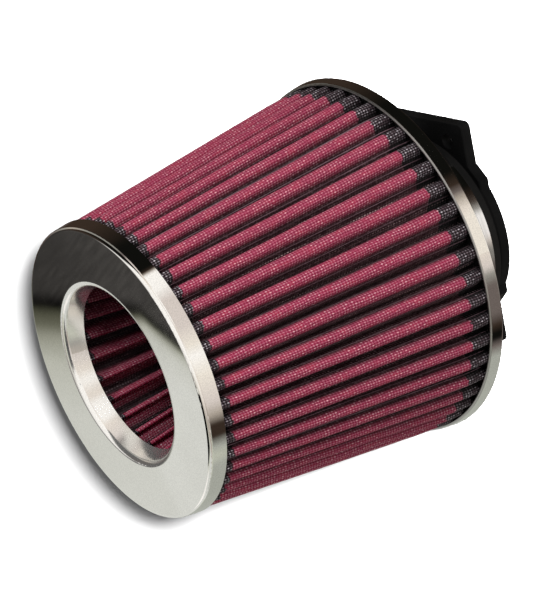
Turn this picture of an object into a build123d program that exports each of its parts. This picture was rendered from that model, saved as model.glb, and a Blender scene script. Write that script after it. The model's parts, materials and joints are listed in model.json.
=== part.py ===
from build123d import *
from math import cos, pi, radians, sin, tan
import os

# Twin-cone air filter on a bolted adapter flange, in millimetres.
# The origin is the centre of the flange's mounting face, and +Z runs along the axis to the nose.

os.makedirs("parts", exist_ok=True)

# Adapter flange: cast plate with bolt ears and a pipe stub
plate_width = 53.2
plate_length = 97.2
plate_thickness = 4.5
plate_corner = 2.5
plate_edge = 0.5
shoulder_width = 64.6
shoulder_length = 62.6
shoulder_chamfer = 6.3
disc_radius = 38.6
pipe_radius = 38.0
pipe_wall = 3.0
pipe_reach = 25.0
pipe_lip_chamfer = 0.8
bolt_spacing_x = 32.0
bolt_spacing_y = 80.0
bolt_hole_radius = 3.25

# Base moulding: urethane disc and neck in one piece
neck_stand_off = 2.5
neck_clearance = 0.1
neck_wall = 2.9
neck_length = 27.2
neck_root_fillet = 2.5
base_floor = 7.3
base_slope = 2.6
bell_mouth = 3.0
locating_wall = 2.2
locating_height = 5.0

# Pleat packs: oiled gauze between wire screens
gauze = 1.3
pack_clearance = 0.25
peak_facets = 4
root_facets = 3
outer_pleat_count = 49
outer_pleat_depth = 10.0
outer_pack_length = 121.7
outer_base_radius = 74.6
outer_nose_radius = 59.8
outer_crown_share = 0.54
outer_root_share = 0.70
outer_turn = 2.0
inner_pleat_count = 27
inner_pleat_depth = 9.0
inner_pack_length = 86.0
inner_mouth_radius = 38.9
inner_end_radius = 23.0
inner_crown_share = 0.50
inner_root_share = 0.57
inner_turn = 3.5

# Base band: bright channel round the large end
band_sheet = 0.6
band_width = 5.8
band_rise = 2.5
band_flare = 0.9
band_bend = 0.7
band_front_lip = 0.2
band_rear_lip = 4.0
band_fit = 0.1

# Nose cap: bright channel ring with a leaning collar into the opening
cap_sheet = 0.6
rim_bend = 1.6
lip_bend = 2.4
skirt_depth = 7.1
skirt_gap = 0.3
skirt_flare = 1.0
collar_depth = 8.0
collar_tilt = 18.0
collar_gap = 3.2
potting_bed = 4.2
potting_fit = 0.05
rib_depth = 5.0

# End cap of the inner cone: urethane plug
plug_floor = 5.0
plug_wall = 2.2
plug_rim = 5.0
plug_edge = 1.2

# Worm-drive clamp
strap_width = 12.7
strap_thickness = 0.7
strap_fit = 0.05
strap_offset = 3.8
strap_start = -10.0
strap_lap = 345.0
strap_step = 12.0
strap_tail = 60.0
strap_layer_gap = 0.1
slot_length = 8.0
slot_width = 1.3
slot_pitch = 3.4
slot_count = 8
slot_lean = 8.0
slot_first = 14.0
housing_length = 14.0
housing_sheet = 0.8
housing_fit = 0.1
worm_radius = 3.3
worm_fit = 0.15
head_across_flats = 7.0
head_height = 5.0
collar_height = 1.0
collar_overhang = 0.5
screw_slot_width = 1.2
screw_slot_depth = 1.6

# Stations along the axis
neck_end_z = plate_thickness + neck_stand_off
base_rear_z = neck_end_z + neck_length
base_seat_z = base_rear_z + base_floor
nose_seat_z = base_seat_z + outer_pack_length
nose_sheet_z = nose_seat_z + potting_bed
nose_face_z = nose_sheet_z + cap_sheet
inner_seat_z = nose_seat_z - inner_pack_length
band_front_z = base_seat_z + band_rise
band_rear_z = band_front_z - band_width

# Radii that several pieces share
neck_bore = pipe_radius + neck_clearance
neck_radius = neck_bore + neck_wall
outer_slope = (outer_base_radius - outer_nose_radius) / outer_pack_length
inner_slope = (inner_mouth_radius - inner_end_radius) / inner_pack_length
skirt_overlap = skirt_depth - potting_bed - cap_sheet
skirt_rear_radius = outer_nose_radius + outer_slope * skirt_overlap + skirt_gap + cap_sheet
skirt_inside_radius = skirt_rear_radius - skirt_flare - cap_sheet
collar_lean = tan(radians(collar_tilt))
collar_back_radius = inner_mouth_radius - collar_gap
collar_rise = (potting_bed + cap_sheet) * collar_lean
collar_radius = collar_back_radius + collar_rise - cap_sheet / cos(radians(collar_tilt))
band_inside_radius = outer_base_radius + pack_clearance + band_front_lip
base_rim_radius = band_inside_radius - band_fit
strap_radius = neck_radius + strap_fit + strap_thickness / 2
tail_radius = strap_radius + strap_thickness + strap_layer_gap
strap_low_z = neck_end_z + strap_offset
strap_mid_z = strap_low_z + strap_width / 2


def polar(radius, angle):
    """Gives the point at a radius and an angle in degrees."""
    return (radius * cos(radians(angle)), radius * sin(radians(angle)))


def shifted(point, distance, angle):
    """Gives a point moved by a distance towards an angle in degrees."""
    step_x, step_y = polar(distance, angle)
    return (point[0] + step_x, point[1] + step_y)


def half_round(centre, radius, first_angle, sweep, facets):
    """Gives the corners of a half round that is made of flat facets."""
    return [shifted(centre, radius, first_angle + sweep * corner / facets) for corner in range(facets + 1)]


def draw_pleat_wall(count, turn, peak_centre, peak_half, root_centre, root_half):
    """Draws one side of a pleated wall: faceted round peaks, straight flanks and faceted round roots."""
    pitch = 360 / count
    corners = []
    for fold in range(count):
        peak_angle = turn + fold * pitch
        root_angle = peak_angle + pitch / 2
        peak = polar(peak_centre, peak_angle)
        root = polar(root_centre, root_angle)
        corners += half_round(peak, peak_half, peak_angle - 90, 180, peak_facets)
        corners += half_round(root, root_half, root_angle - 90, -180, root_facets)
    Polyline(*corners, close=True)


def pleat_section(height, count, turn, peak_radius, inside_radius, peak_share, root_share):
    """Gives a pleated sheet's section at a height, between its outermost and innermost radius."""
    peak_half = peak_share * pi * peak_radius / count
    fold_half = root_share * pi * inside_radius / count
    peak_centre = peak_radius - peak_half
    root_centre = inside_radius + fold_half
    with BuildSketch(Plane.XY.offset(height)) as section:
        with BuildLine():
            draw_pleat_wall(count, turn, peak_centre, peak_half, root_centre, fold_half - gauze)
        make_face()
        with BuildLine():
            draw_pleat_wall(count, turn, peak_centre, peak_half - gauze, root_centre, fold_half)
        make_face(mode=Mode.SUBTRACT)
    return section.sketch


def draw_strap_side(side):
    """Draws one side of the clamp's strip: a full ring, a step outwards and the tail that laps over it."""
    ring = CenterArc((0, 0), strap_radius + side, strap_start, strap_lap)
    tail = CenterArc((0, 0), tail_radius + side, strap_start + strap_lap + strap_step, strap_tail)
    Spline(ring @ 1, tail @ 0, tangents=(ring % 1, tail % 0))
    return ring, tail


def finish(piece, label):
    """Names a finished piece and writes its file."""
    piece.part.label = label
    export_step(piece.part, f"parts/{label}.step")


# Outer pleats: a cone that stands on the base moulding and ends in the nose cap
with BuildPart() as outer_pleats:
    base_section = pleat_section(
        base_seat_z, outer_pleat_count, outer_turn,
        outer_base_radius, outer_base_radius - outer_pleat_depth,
        outer_crown_share, outer_root_share,
    )
    nose_section = pleat_section(
        nose_seat_z, outer_pleat_count, outer_turn,
        outer_nose_radius, outer_nose_radius - outer_pleat_depth,
        outer_crown_share, outer_root_share,
    )
    loft([base_section, nose_section], ruled=True)
finish(outer_pleats, "outer_pleats")

# Inner pleats: an inverted cone from the nose opening down to its end cap
with BuildPart() as inner_pleats:
    end_section = pleat_section(
        inner_seat_z, inner_pleat_count, inner_turn,
        inner_end_radius + inner_pleat_depth, inner_end_radius,
        inner_crown_share, inner_root_share,
    )
    mouth_section = pleat_section(
        nose_seat_z, inner_pleat_count, inner_turn,
        inner_mouth_radius + inner_pleat_depth, inner_mouth_radius,
        inner_crown_share, inner_root_share,
    )
    loft([end_section, mouth_section], ruled=True)
finish(inner_pleats, "inner_pleats")

# Nose cap: pressed channel with an outer skirt, a flat face and a collar that narrows inwards
with BuildPart() as nose_cap:
    with BuildSketch(Plane.XZ):
        with BuildLine():
            FilletPolyline(
                (skirt_rear_radius, nose_face_z - skirt_depth),
                (skirt_rear_radius - skirt_flare, nose_face_z),
                (collar_radius, nose_face_z),
                (collar_radius - collar_depth * collar_lean, nose_face_z - collar_depth),
                radius=[rim_bend, lip_bend],
            )
            offset(amount=cap_sheet, side=Side.LEFT)
        make_face()
    revolve(axis=Axis.Z)
finish(nose_cap, "nose_cap")

# Nose potting: urethane bed with a rib between the two pleat packs
with BuildPart() as nose_potting:
    rib_outside = outer_nose_radius - outer_pleat_depth - pack_clearance
    rib_inside = inner_mouth_radius + inner_pleat_depth + pack_clearance
    bed_outside = skirt_inside_radius - potting_fit
    bed_inside = collar_back_radius + potting_fit
    with BuildSketch(Plane.XZ):
        with BuildLine():
            Polyline(
                (bed_inside + potting_bed * collar_lean, nose_sheet_z),
                (bed_outside, nose_sheet_z),
                (bed_outside, nose_seat_z),
                (rib_outside, nose_seat_z),
                (rib_outside, nose_seat_z - rib_depth),
                (rib_inside, nose_seat_z - rib_depth),
                (rib_inside, nose_seat_z),
                (bed_inside, nose_seat_z),
                close=True,
            )
        make_face()
        fillet(vertices().group_by(Axis.Y)[-1].sort_by(Axis.X)[0], radius=lip_bend - cap_sheet)
        fillet(vertices().group_by(Axis.Y)[-1].sort_by(Axis.X)[-1], radius=rim_bend - cap_sheet)
    revolve(axis=Axis.Z)
finish(nose_potting, "nose_potting")

# Inner end cap: urethane plug with a groove for the end of the inner pleats
with BuildPart() as inner_end_cap:
    groove_inside = inner_end_radius - pack_clearance
    groove_outside = inner_end_radius + inner_pleat_depth + inner_slope * plug_rim + pack_clearance
    with BuildSketch(Plane.XZ):
        with BuildLine():
            Polyline(
                (0, inner_seat_z - plug_floor),
                (groove_outside + plug_wall, inner_seat_z - plug_floor),
                (groove_outside + plug_wall, inner_seat_z + plug_rim),
                (groove_outside, inner_seat_z + plug_rim),
                (groove_outside, inner_seat_z),
                (groove_inside, inner_seat_z),
                (groove_inside, inner_seat_z + plug_rim),
                (0, inner_seat_z + plug_rim),
                close=True,
            )
        make_face()
    revolve(axis=Axis.Z)
    fillet(edges().filter_by(GeomType.CIRCLE).group_by(Axis.Z)[0], radius=plug_edge)
finish(inner_end_cap, "inner_end_cap")

# Base moulding: urethane disc that seats the outer pleats, with the neck in one piece
with BuildPart() as base_moulding:
    lip_inside = band_inside_radius + band_sheet - band_rear_lip
    lip_top_z = band_rear_z + band_sheet
    wall_outside = outer_base_radius - outer_pleat_depth - outer_slope * locating_height - pack_clearance
    with BuildSketch(Plane.XZ):
        with BuildLine():
            Polyline(
                (neck_bore, neck_end_z),
                (neck_radius, neck_end_z),
                (neck_radius, base_rear_z),
                (lip_inside - band_fit, base_rear_z + base_slope),
                (lip_inside - band_fit, lip_top_z + band_fit),
                (base_rim_radius, lip_top_z + band_fit),
                (base_rim_radius, base_seat_z),
                (wall_outside, base_seat_z),
                (wall_outside, base_seat_z + locating_height),
                (wall_outside - locating_wall, base_seat_z + locating_height),
                (wall_outside - locating_wall, base_seat_z),
                (neck_bore, base_seat_z),
                close=True,
            )
        make_face()
    revolve(axis=Axis.Z)
    bell_edges = edges().filter_by_position(Axis.Z, base_seat_z, base_seat_z)
    fillet(bell_edges.sort_by(SortBy.RADIUS)[0], radius=bell_mouth)
    root_edges = edges().filter_by_position(Axis.Z, base_rear_z, base_rear_z)
    fillet(root_edges, radius=neck_root_fillet)
finish(base_moulding, "base_moulding")

# Base band: pressed channel, wider at the rear, with both edges turned in
with BuildPart() as base_band:
    with BuildSketch(Plane.XZ):
        band_outside = band_inside_radius + band_sheet
        with BuildLine():
            FilletPolyline(
                (band_outside - band_sheet - band_front_lip, band_front_z),
                (band_outside, band_front_z),
                (band_outside + band_flare, band_rear_z),
                (band_outside - band_rear_lip, band_rear_z),
                radius=band_bend,
            )
            offset(amount=band_sheet, side=Side.RIGHT)
        make_face()
    revolve(axis=Axis.Z)
finish(base_band, "base_band")

# Adapter flange: plate outline, pipe stub, bore and bolt holes
with BuildPart() as adapter_flange:
    with BuildSketch():
        Rectangle(plate_width, plate_length)
        fillet(vertices(), radius=plate_corner)
        with BuildSketch(mode=Mode.ADD):
            Rectangle(shoulder_width, shoulder_length)
            chamfer(vertices(), length=shoulder_chamfer)
        Circle(disc_radius)
    extrude(amount=plate_thickness)
    chamfer(edges().group_by(Axis.Z)[-1], length=plate_edge)
    with BuildSketch(Plane.XY.offset(plate_thickness)):
        Circle(pipe_radius)
    extrude(amount=neck_stand_off + pipe_reach)
    chamfer(edges().group_by(Axis.Z)[-1], length=pipe_lip_chamfer)
    with BuildSketch():
        Circle(pipe_radius - pipe_wall)
    extrude(amount=plate_thickness + neck_stand_off + pipe_reach, mode=Mode.SUBTRACT)
    with GridLocations(bolt_spacing_x, bolt_spacing_y, 2, 2):
        Hole(bolt_hole_radius)
finish(adapter_flange, "adapter_flange")

# Clamp band: one strip that laps over itself, with slots along its free end
with BuildPart() as clamp_band:
    with BuildSketch(Plane.XY.offset(strap_low_z)):
        with BuildLine():
            inside_ring, inside_tail = draw_strap_side(-strap_thickness / 2)
            outside_ring, outside_tail = draw_strap_side(strap_thickness / 2)
            Line(inside_ring @ 0, outside_ring @ 0)
            Line(inside_tail @ 1, outside_tail @ 1)
        make_face()
    extrude(amount=strap_width)
    slot_top = tail_radius + strap_thickness / 2
    for slot in range(slot_count):
        slot_angle = slot_first + slot * slot_pitch
        slot_x, slot_y = polar(slot_top, slot_angle)
        slot_plane = Plane(
            origin=(slot_x, slot_y, strap_mid_z),
            x_dir=(-sin(radians(slot_angle)), cos(radians(slot_angle)), 0),
            z_dir=(cos(radians(slot_angle)), sin(radians(slot_angle)), 0),
        )
        with BuildSketch(slot_plane):
            Rectangle(slot_width, slot_length, rotation=slot_lean)
        extrude(amount=-strap_thickness - strap_layer_gap / 2, mode=Mode.SUBTRACT)
finish(clamp_band, "clamp_band")

# Clamp screw: worm body, collar and slotted hexagon head, tangent to the strap
worm_x = tail_radius + strap_thickness / 2 + worm_fit + worm_radius
head_start = housing_length / 2 + worm_fit
with BuildPart() as clamp_screw:
    with BuildSketch(Plane(origin=(worm_x, -housing_length / 2, strap_mid_z), z_dir=(0, 1, 0))):
        Circle(worm_radius)
    extrude(amount=housing_length + worm_fit)
    with BuildSketch(Plane(origin=(worm_x, head_start, strap_mid_z), z_dir=(0, 1, 0))):
        Circle(head_across_flats / 2 + collar_overhang)
    extrude(amount=collar_height)
    with BuildSketch(Plane(origin=(worm_x, head_start + collar_height, strap_mid_z), z_dir=(0, 1, 0))):
        RegularPolygon(head_across_flats / 2, side_count=6, major_radius=False)
    extrude(amount=head_height)
    head_top = head_start + collar_height + head_height
    with BuildSketch(Plane(origin=(worm_x, head_top, strap_mid_z), z_dir=(0, 1, 0))):
        Rectangle(screw_slot_width, 2 * head_across_flats)
    extrude(amount=-screw_slot_depth, mode=Mode.SUBTRACT)
finish(clamp_screw, "clamp_screw")

# Clamp housing: sheet saddle over the strap with a round barrel for the worm
with BuildPart() as clamp_housing:
    barrel_inside = worm_radius + worm_fit
    barrel_outside = barrel_inside + housing_sheet
    leg_inside = strap_width / 2 + housing_fit
    leg_outside = leg_inside + housing_sheet
    foot_x = neck_radius + strap_fit + strap_thickness / 2
    shoulder_x = tail_radius + strap_thickness / 2 + worm_fit
    with BuildSketch(Plane.XZ):
        with Locations((worm_x, strap_mid_z)):
            Circle(barrel_outside)
        with BuildLine():
            Polyline(
                (foot_x, strap_mid_z - leg_outside),
                (shoulder_x + housing_sheet, strap_mid_z - leg_outside),
                (worm_x, strap_mid_z - barrel_outside),
                (worm_x, strap_mid_z + barrel_outside),
                (shoulder_x + housing_sheet, strap_mid_z + leg_outside),
                (foot_x, strap_mid_z + leg_outside),
                close=True,
            )
        make_face()
        with Locations((worm_x, strap_mid_z)):
            Circle(barrel_inside, mode=Mode.SUBTRACT)
        with BuildLine():
            Polyline(
                (foot_x, strap_mid_z - leg_inside),
                (shoulder_x, strap_mid_z - leg_inside),
                (worm_x, strap_mid_z - barrel_inside),
                (worm_x, strap_mid_z + barrel_inside),
                (shoulder_x, strap_mid_z + leg_inside),
                (foot_x, strap_mid_z + leg_inside),
                close=True,
            )
        make_face(mode=Mode.SUBTRACT)
    extrude(amount=housing_length / 2, both=True)
finish(clamp_housing, "clamp_housing")
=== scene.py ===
"""Dresses the twin-cone air filter: pleated gauze, bright rings, clamp, flange and a plain studio."""

from __future__ import annotations

import json
import logging
import math
from dataclasses import dataclass, field
from enum import Enum
from typing import Union

import bmesh
import bpy
from mathutils import Matrix, Vector, noise

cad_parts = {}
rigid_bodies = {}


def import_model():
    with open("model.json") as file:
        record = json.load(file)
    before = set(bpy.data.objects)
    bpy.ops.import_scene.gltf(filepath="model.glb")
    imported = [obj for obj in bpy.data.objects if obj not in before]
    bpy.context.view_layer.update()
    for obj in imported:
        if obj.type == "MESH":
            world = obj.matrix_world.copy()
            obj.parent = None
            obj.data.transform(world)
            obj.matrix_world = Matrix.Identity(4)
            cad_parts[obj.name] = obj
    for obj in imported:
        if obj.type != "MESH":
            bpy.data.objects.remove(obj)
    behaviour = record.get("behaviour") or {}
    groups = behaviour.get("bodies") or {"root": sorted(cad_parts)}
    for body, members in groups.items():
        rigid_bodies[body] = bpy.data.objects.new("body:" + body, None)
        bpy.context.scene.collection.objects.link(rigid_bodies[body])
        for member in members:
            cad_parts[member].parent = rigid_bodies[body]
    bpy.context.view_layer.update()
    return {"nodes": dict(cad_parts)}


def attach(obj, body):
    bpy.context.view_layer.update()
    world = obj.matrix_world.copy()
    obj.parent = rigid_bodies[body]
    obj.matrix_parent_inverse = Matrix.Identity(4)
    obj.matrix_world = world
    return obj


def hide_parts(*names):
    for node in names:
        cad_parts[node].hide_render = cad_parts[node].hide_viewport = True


LOG = logging.getLogger("cone_filter")
MM = 0.001
BODY = "root"
FLOW = "NodeSocketFloat"

Socket = bpy.types.NodeSocket
NodeTree = bpy.types.NodeTree
Material = bpy.types.Material
Object = bpy.types.Object
BMesh = bmesh.types.BMesh
Span = tuple[float, float]
Spans = tuple[Span, ...]
Colour = tuple[float, float, float]
Value = Union[Socket, Colour, float]

AXIS = (0.0, 0.0, 1.0)
NOISE_SPAN: Span = (0.3, 0.7)
WHITE: Colour = (1.0, 1.0, 1.0)
# Painted shade: the share of the dark valley colour in a fold's colour, from its crown at 0 to its valley at
# 1.
OUTER_SHADE: Spans = ((0.0, 0.0), (0.19, 0.03), (0.31, 0.50), (0.39, 0.93), (0.7, 0.96), (1.0, 0.96))
INNER_SHADE: Spans = ((0.0, 0.0), (0.40, 0.05), (0.64, 0.55), (0.80, 0.95), (1.0, 0.97))


class Slot(Enum):
    """Names of two of the record's material slots, which nothing here uses."""

    GAUZE = "gauze"
    CLAMP = "clamp_steel"


class Facing(Enum):
    """The side of a pleat pack that shows."""

    OUTWARD = 1
    INWARD = -1


class Draw(Enum):
    """The seeds of the separate draws of chance on a pleat pack."""

    SPARKLE = 3.0
    SOAK = 5.0
    PLEAT = 7.0
    ROW = 11.0


class NodeBench:
    """Adds and wires the nodes of one shader tree."""

    def __init__(self, tree: NodeTree) -> None:
        """Takes the tree to work on."""
        self.tree = tree

    def add(self, kind: str, *values: Value, **settings: object) -> bpy.types.Node:
        """Adds a node.

        Args:
            kind: the node's type name.
            *values: what feeds its inputs, in order.
            **settings: properties to set on it.

        Returns:
            The new node.
        """
        node = self.tree.nodes.new(kind)
        for name, setting in settings.items():
            setattr(node, name, setting)
        for socket, value in zip(node.inputs, values):
            self.feed(socket, value)
        return node

    def feed(self, socket: Socket, value: Value) -> None:
        """Sets an input, or links it where the value is another node's output.

        Args:
            socket: the input to feed.
            value: a number, a colour or an output socket.
        """
        if isinstance(value, Socket):
            self.tree.links.new(value, socket)
        elif isinstance(value, tuple):
            socket.default_value = (*value, 1.0)
        else:
            socket.default_value = value

    def fill(self, node: bpy.types.Node, **values: Value) -> None:
        """Feeds a node's inputs, named with underscores for spaces."""
        for name, value in values.items():
            self.feed(node.inputs[name.replace("_", " ")], value)

    def math(self, operation: str, *values: Value, clamp: bool = False) -> Socket:
        """Adds a Math node and gives its output, which clamp holds between 0 and 1."""
        return self.add("ShaderNodeMath", *values, operation=operation, use_clamp=clamp).outputs[0]

    def plus(self, first: Value, second: Value) -> Socket:
        """Adds two values."""
        return self.math("ADD", first, second)

    def minus(self, first: Value, second: Value) -> Socket:
        """Takes the second value from the first."""
        return self.math("SUBTRACT", first, second)

    def times(self, first: Value, second: Value) -> Socket:
        """Multiplies two values."""
        return self.math("MULTIPLY", first, second)

    def scaled(self, value: Value, factor: float, start: Value) -> Socket:
        """Multiplies a value by a factor and adds a start."""
        return self.math("MULTIPLY_ADD", value, factor, start)

    def from_axis(self, x: Socket, y: Socket) -> Socket:
        """Gives the distance from the Z axis."""
        return self.math("SQRT", self.plus(self.math("POWER", x, 2.0), self.math("POWER", y, 2.0)))

    def blend(self, factor: Value, first: Value, second: Value, mode: str = "MIX") -> Socket:
        """Mixes two colours.

        Args:
            factor: the second colour's share.
            first: a colour or socket.
            second: a colour or socket.
            mode: the blend type.

        Returns:
            The mixed colour.
        """
        node = self.add("ShaderNodeMix", factor, data_type="RGBA", blend_type=mode)
        colours = [socket for socket in node.inputs if socket.type == "RGBA"]
        for socket, colour in zip(colours, (first, second)):
            self.feed(socket, colour)
        return next(socket for socket in node.outputs if socket.type == "RGBA")

    def dimmed(self, colour: Value, level: Socket) -> Socket:
        """Multiplies a colour by a level or by another colour."""
        return self.blend(1.0, colour, level, "MULTIPLY")

    def step(self, value: Value, low: float, high: float, first: float = 0.0, last: float = 1.0) -> Socket:
        """Maps a value smoothly, from first at the value low to last at the value high, held at both ends."""
        ends = (low, high, first, last)
        return self.add("ShaderNodeMapRange", value, *ends, interpolation_type="SMOOTHSTEP").outputs[0]

    def ramp(self, factor: Value, stops: tuple[tuple[float, Colour], ...]) -> Socket:
        """Adds a colour ramp.

        Args:
            factor: what runs along it.
            stops: places and colours, in order.

        Returns:
            Its colour.
        """
        node = self.add("ShaderNodeValToRGB", factor)
        elements = node.color_ramp.elements
        while len(elements) < len(stops):
            elements.new(1.0)
        for element, (place, colour) in zip(elements, stops):
            element.position = place
            element.color = (*colour, 1.0)
        return node.outputs[0]

    def grey_ramp(self, factor: Value, stops: Spans) -> Socket:
        """Adds a ramp of greys, from places and levels."""
        return self.ramp(factor, tuple((place, (level,) * 3) for place, level in stops))

    def cloud(self, vector: Socket, scale: Value, detail: float) -> bpy.types.NodeOutputs:
        """Adds a noise texture and gives its outputs. Its second input, the fourth axis, isn't in use."""
        return self.add("ShaderNodeTexNoise", vector, 0.0, scale, detail, noise_dimensions="3D").outputs

    def grain(self, vector: Socket, scale: Value = 1.0, detail: float = 1.0) -> Socket:
        """Gives a noise from 0 to 1."""
        return self.cloud(vector, scale, detail)["Fac"]

    def drift(self, vector: Socket, scale: float, reach: float) -> tuple[Socket, ...]:
        """Gives slow offsets of up to a reach either way, one for each axis."""
        offsets = self.parts(self.cloud(vector, scale, 1.0)["Color"])
        return tuple(self.scaled(offset, 2.0 * reach, -reach) for offset in offsets)

    def point(self, x: Value, y: Value, z: Value = 0.0) -> Socket:
        """Joins three values into a vector."""
        return self.add("ShaderNodeCombineXYZ", x, y, z).outputs[0]

    def parts(self, vector: Socket) -> tuple[Socket, ...]:
        """Splits a vector into its three values."""
        return tuple(self.add("ShaderNodeSeparateXYZ", vector).outputs)

    def chance(self, vector: Socket) -> Socket:
        """Gives a number from 0 to 1 by chance, always the same one for the same vector."""
        return self.add("ShaderNodeTexWhiteNoise", vector, noise_dimensions="3D").outputs["Value"]

    def relief(self, height: Socket, depth: float, strength: float) -> Socket:
        """Turns a height into a normal.

        Args:
            height: the height, from 0 to 1.
            depth: what a height of 1 stands for, in metres.
            strength: the effect's share.

        Returns:
            The bumped normal.
        """
        node = self.add("ShaderNodeBump")
        self.fill(node, Strength=strength, Distance=depth, Height=height)
        return node.outputs["Normal"]


class GroupMaker:
    """Builds a shader node group with named sockets."""

    def __init__(self, name: str, inputs: dict[str, str], outputs: dict[str, str]) -> None:
        """Makes the empty group.

        Args:
            name: the group's name.
            inputs: socket names and their types.
            outputs: socket names and their types.
        """
        tree = bpy.data.node_groups.new(name, "ShaderNodeTree")
        for way, sockets in (("INPUT", inputs), ("OUTPUT", outputs)):
            for socket, kind in sockets.items():
                tree.interface.new_socket(socket, in_out=way, socket_type=kind)
        self.bench = NodeBench(tree)
        self.source = self.bench.add("NodeGroupInput").outputs
        self.result = self.bench.add("NodeGroupOutput").inputs


@dataclass(frozen=True)
class Wires:
    """One of a woven screen's two families of wires, with the inputs that count and follow them."""

    own: str
    other: str
    phase: float
    gleam: float
    share: float


@dataclass
class Effects:
    """The node groups that several finishes share, each built once."""

    # Each family's gleam sets how bright its painted glints are; the first family's are brighter, as light
    # from one side would make them.
    families: tuple[Wires, ...] = (
        Wires("Across", "Along", phase=0.0, gleam=1.0, share=1.0),
        Wires("Along", "Across", phase=1.0, gleam=0.45, share=0.65),
    )
    wire_edge: Span = (1.15, 0.8)
    under_share: float = 0.1
    under_lift: float = 0.35
    top_power: float = 7.0
    smudge_span: Span = (0.42, 0.68)

    def __post_init__(self) -> None:
        """Builds every group."""
        self.wire_screen = self._wire_screen()
        self.handling = self._handling()

    def _wire_screen(self) -> NodeTree:
        """Builds the plain-woven wire screen.

        Returns:
            A group that takes the place across and along in wire pitches and gives the wire's mask,
            its height and the mask of the tops where it passes over.
        """
        maker = GroupMaker(
            "wire_screen",
            {"Across": FLOW, "Along": FLOW, "Radius": FLOW},
            {"Wire": FLOW, "Height": FLOW, "Glint": FLOW},
        )
        bench, source = maker.bench, maker.source
        masks, heights, glints = [], [], []
        for wires in self.families:
            own, other, share = source[wires.own], source[wires.other], wires.share
            index = bench.math("FLOOR", own)
            offset = bench.minus(bench.minus(own, index), 0.5)
            reach = bench.math("DIVIDE", bench.math("ABSOLUTE", offset), source["Radius"])
            bow = bench.math("SUBTRACT", 1.0, bench.math("POWER", reach, 2.0), clamp=True)
            round_top = bench.math("SQRT", bow)
            turn = bench.plus(bench.minus(other, 0.5 - wires.phase), index)
            over = bench.scaled(bench.math("COSINE", bench.times(turn, math.pi)), 0.5, 0.5)
            shown = bench.scaled(over, (1.0 - self.under_share) * share, self.under_share * share)
            masks.append(bench.times(bench.step(reach, *self.wire_edge), shown))
            heights.append(bench.times(round_top, bench.scaled(over, 1.0 - self.under_lift, self.under_lift)))
            # The tops' mask carries the painted glints, weighted by the family's gleam.
            top = bench.times(bench.math("POWER", over, self.top_power), round_top)
            glints.append(bench.times(top, wires.gleam))
        for name, pair in (("Wire", masks), ("Height", heights), ("Glint", glints)):
            bench.feed(maker.result[name], bench.math("MAXIMUM", *pair))
        return bench.tree

    def _handling(self) -> NodeTree:
        """Builds the marks that handling leaves on a smooth surface.

        Returns:
            A group that takes a place and two scales and gives smudges and a fine uneven height.
        """
        maker = GroupMaker(
            "handling",
            {"Place": "NodeSocketVector", "Smudge Scale": FLOW, "Grain Scale": FLOW},
            {"Smudge": FLOW, "Grain": FLOW},
        )
        bench, source = maker.bench, maker.source
        smudge = bench.grain(source["Place"], source["Smudge Scale"], detail=5.0)
        bench.feed(maker.result["Smudge"], bench.step(smudge, *self.smudge_span))
        grain = bench.grain(source["Place"], source["Grain Scale"], detail=2.0)
        bench.feed(maker.result["Grain"], grain)
        return bench.tree


class Finish:
    """A material under construction, with its shader and its node bench."""

    def __init__(self, name: str) -> None:
        """Makes a material that holds only its shader.

        Args:
            name: the material's name.
        """
        self.material = bpy.data.materials.new(name)
        self.material.use_nodes = True
        tree = self.material.node_tree
        self.bench = NodeBench(tree)
        self.shader = next(node for node in tree.nodes if node.type == "BSDF_PRINCIPLED")

    def place(self) -> Socket:
        """Gives the object coordinates, in metres."""
        return self.bench.add("ShaderNodeTexCoord").outputs["Object"]

    def effect(self, group: NodeTree, **values: Value) -> bpy.types.NodeOutputs:
        """Places a shared effect.

        Args:
            group: the effect's node group.
            **values: its inputs, with underscores for spaces.

        Returns:
            The group's outputs.
        """
        node = self.bench.add("ShaderNodeGroup", node_tree=group)
        self.bench.fill(node, **values)
        return node.outputs

    def drive(self, **values: Value) -> None:
        """Feeds the shader's inputs, named with underscores for spaces."""
        self.bench.fill(self.shader, **values)


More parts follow.
